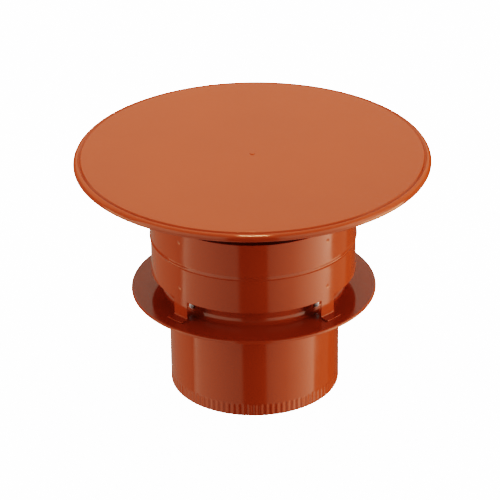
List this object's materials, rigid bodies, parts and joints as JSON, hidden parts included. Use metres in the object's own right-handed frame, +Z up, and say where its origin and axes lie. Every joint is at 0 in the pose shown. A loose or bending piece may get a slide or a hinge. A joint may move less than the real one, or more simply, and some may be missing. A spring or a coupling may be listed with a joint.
{
  "type": "chimney cowl",
  "caption": "Round chimney cowl with a flat rolled-rim cap over an open drum, a flange below it and a crimped spigot that slips into a flue pipe.",
  "frame": {"origin": "centre of the spigot's lower end, on the plane that the cowl stands on", "axes": "+Z up along the axis of the spigot, drum and cap; -Y towards the front, midway between two feet"},
  "size_m": [0.31, 0.31, 0.2191],
  "materials": {
    "terracotta_paint": "gloss paint",
    "bare_rivet": "satin"
  },
  "bodies": {
    "root": {"spigot": "terracotta_paint", "flange": "terracotta_paint", "drum": "terracotta_paint", "cap": "terracotta_paint", "strap_front_right": "terracotta_paint", "strap_back_right": "terracotta_paint", "strap_back_left": "terracotta_paint", "strap_front_left": "terracotta_paint", "rivet_front_right": "bare_rivet", "rivet_back_right": "bare_rivet", "rivet_back_left": "bare_rivet", "rivet_front_left": "bare_rivet"}
  },
  "joints": []
}
